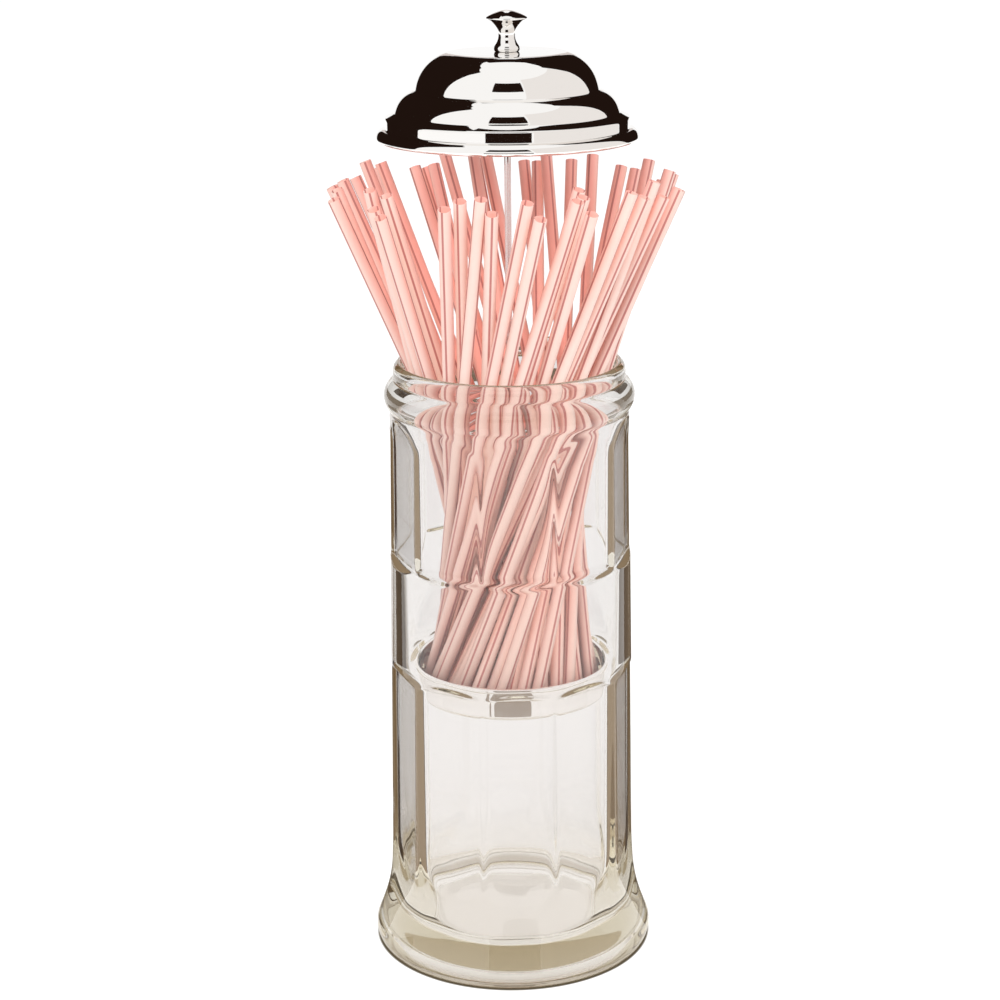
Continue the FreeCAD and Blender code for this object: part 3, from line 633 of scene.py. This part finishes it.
def screen(name, grid, colour, crossings, mirrorings=ANY):
    """A plain screen that draws an edge in the metal or the glass.

    It is there for light that has crossed glass faces, and has been mirrored, so many
    times: each is a least and a greatest count. Other light passes it.
    """
    paint = Finish(name, {"Base Color": (0, 0, 0, 1), "Roughness": 1.0,
                          "Specular IOR Level": 0.0, "Emission Color": (*colour, 1),
                          "Emission Strength": 1.0})
    crossed, bounced = (
        paint.math("COMPARE", count, (least + greatest) / 2, (greatest - least) / 2 + 0.5)
        for count, (least, greatest) in zip(paint.light("Transmission Depth", "Glossy Depth"),
                                            (crossings, mirrorings)))
    paint.layer(crossed * bounced, paint.add("ShaderNodeBsdfTransparent"), paint.own)
    piece = backdrop(name, grid, paint)
    piece.visible_camera = piece.visible_diffuse = piece.visible_shadow = False


def dome(*rows):
    """Grid on a sphere of 1.9 m round the lid, from rows of its elevation and its left and
    right ends, in degrees, counted from the front.

    A point is the middle + 1.9 (cos e sin a, -cos e cos a, sin e).
    """
    elevation, left, right = np.radians(np.array(rows, float)).T[:, :, None]
    turn = left + (right - left) * np.linspace(0, 1, 33)
    grid = np.stack([np.cos(elevation) * np.sin(turn), -np.cos(elevation) * np.cos(turn),
                     np.broadcast_to(np.sin(elevation), turn.shape)], -1)
    return 1.9 * grid + (0, 0, 0.33)


def fence(*rows):
    """Grid round the jar from rows of its distance and height, and of its left and right
    ends in degrees, counted from the front."""
    distance, height, left, right = np.array(rows, float).T[:, :, None]
    turn = np.radians(left + (right - left) * np.linspace(0, 1, 65))
    return np.stack([distance * np.sin(turn), -distance * np.cos(turn),
                     np.broadcast_to(height, turn.shape)], -1)


DARK = (0.014, 0.007, 0.005)

# dark shapes in the chrome, with a paler field behind and beside them
screen("screen_front", dome((-8, -20, 22), (10, -20, 22), (30, -20, 22), (52, -20, 22)),
       DARK, NEVER)
screen("screen_left", dome((-9, -150, -92), (2, -158, -85), (12, -172, -85), (30, -174, -85),
                           (48, -178, -84), (58, -160, -84), (66, -140, -84),
                           (70, -125, -87)), DARK, NEVER)
screen("screen_right", dome((-9, 128, 152), (2, 122, 156), (12, 120, 172), (30, 119, 174),
                            (50, 119, 178), (58, 120, 170), (63, 124, 150)), DARK, NEVER)
screen("screen_behind", dome((44, 168, 192), (60, 164, 196)), DARK, NEVER)
screen("screen_back", dome((8, 170, 190), (28, 170, 190)), (0.70, 0.64, 0.62), NEVER)
screen("screen_pale", dome((-9, 24, 127), (2, 24, 121), (30, 24, 118), (60, 26, 118)),
       (0.88, 0.85, 0.83), NEVER)
# painted shade in the glass, from sheets that only light through it sees: its foot, the dark
# edges of its walls, its bead and its thick parts
screen("screen_foot", dome((-9, -20, 22), (10, -20, 22), (30, -20, 22)), (0.30, 0.26, 0.22),
       SOME)
screen("screen_wall_left", fence((0.065, 0.0006, -150, -80), (0.2, 0.0006, -150, -112),
                                 (0.8, 0.0006, -150, -126)), (0.05, 0.034, 0.024),
       UP_TO_TWO, UP_TO_TWO)
screen("screen_wall_right", fence((0.065, 0.0006, 90, 165), (0.2, 0.0006, 122, 165),
                                  (0.8, 0.0006, 136, 165)), (0.08, 0.058, 0.044),
       UP_TO_TWO, UP_TO_TWO)
screen("screen_bead", fence((1.5, 0.0, -180, 180), (1.5, 0.7, -180, 180)),
       (0.17, 0.13, 0.09), ONE_OR_TWO, UP_TO_TWO)
screen("screen_thick", fence((0.065, 0.0008, -180, 180), (1.4, 0.0008, -180, 180)),
       (0.40, 0.31, 0.22), ONE_OR_TWO, LOST)
# painted reflection in the cup's front: a sheet that only light mirrored once by the cup sees,
# through both faces of the wall on the way in and out
screen("screen_cup", fence((0.15, 0.0004, -22, 22), (0.9, 0.0004, -22, 22)),
       (0.40, 0.34, 0.29), (4, 4), (1, 1))
# painted shade in the deep parts of the foot
screen("screen_low", dome((-9.5, 158, 202), (12, 158, 202)), (0.15, 0.11, 0.06), LOST)

# painted contact shadow: the floor is painted dark in a ring where the foot's rounded edge
# stands on it, as light passes the glass nearly clear and the glass casts almost no shadow
# there
CONTACT_RADIUS, SHADOW_CORE, SHADOW_FADE = 0.0535, 0.0012, 0.0022
FLOOR_HALF = 9.0

floor_paint = Finish("floor", {"Roughness": 0.9, "Specular IOR Level": 0.1,
                               "Emission Color": (1, 1, 1, 1)})
direct, mirrored, through = floor_paint.light("Is Camera Ray", "Is Glossy Ray",
                                              "Is Transmission Ray")
gap = floor_paint.reach(floor_paint.add("ShaderNodeTexCoord", output="Object"))
gap = floor_paint.math("ABSOLUTE", gap - CONTACT_RADIUS)
unshadowed_floor = floor_paint.ramp(gap, SHADOW_CORE, SHADOW_FADE, "SMOOTHSTEP")
# the floor glows white for direct and mirrored light, and less when seen through the glass,
# painted shade that makes it look darker there; in the ring the glow goes, for the painted
# contact shadow
floor_paint.vary({
    "Base Color": floor_paint.colour(unshadowed_floor, (0.10, 0.08, 0.05, 1), (0.65, 0.65, 0.65, 1)),
    "Emission Strength": ((direct + mirrored) * 0.45 - through * 0.25) * unshadowed_floor})
across, deep = np.meshgrid((-FLOOR_HALF, FLOOR_HALF), (-FLOOR_HALF, FLOOR_HALF))
backdrop("floor", np.stack([across, deep, np.zeros((2, 2))], -1), floor_paint)

surround = Finish("surround", {"Color": (1, 1, 1, 1)}, "worlds", "Background")
direct, mirrored = surround.light("Is Camera Ray", "Is Glossy Ray")
surround.vary({"Strength": (direct + mirrored) * 0.1 + 0.9})
bpy.context.scene.world = surround.data


def lamp(name, place, aim, size, power):
    """A square soft lamp at a place, turned to a point: its Z axis runs back along the way
    it shines."""
    data = bpy.data.lights.new(name, "AREA")
    data.size, data.energy = size, power
    light = bpy.data.objects.new(name, data)
    bpy.context.scene.collection.objects.link(light)
    light.location = place
    light.rotation_euler = (Vector(place) - Vector(aim)).to_track_quat("Z", "Y").to_euler()
    light.visible_glossy = light.visible_camera = light.visible_transmission = False


lamp("key", (-0.9, -1.3, 1.3), (0, 0, 0.2), 0.9, 14)
lamp("fill", (1.2, -1.0, 0.9), (0, 0, 0.2), 1.0, 9)

CAMERA_BACK, CAMERA_HEIGHT = 0.864, 0.4385
CAMERA_DOWN, CAMERA_ROLL = 16.563, -0.42

view = bpy.data.cameras.new("view")
view.lens, view.sensor_width = 83.76, 36.0
view.shift_x = -0.0101
camera = bpy.data.objects.new("view", view)
bpy.context.scene.collection.objects.link(camera)
tilt = Euler((math.radians(90 - CAMERA_DOWN), 0, 0)).to_matrix()
roll = Euler((0, 0, math.radians(CAMERA_ROLL))).to_matrix()
camera.location = (0, -CAMERA_BACK, CAMERA_HEIGHT)
camera.rotation_euler = (tilt @ roll).to_euler()
bpy.context.scene.camera = camera
bpy.context.scene.view_settings.view_transform = "Standard"
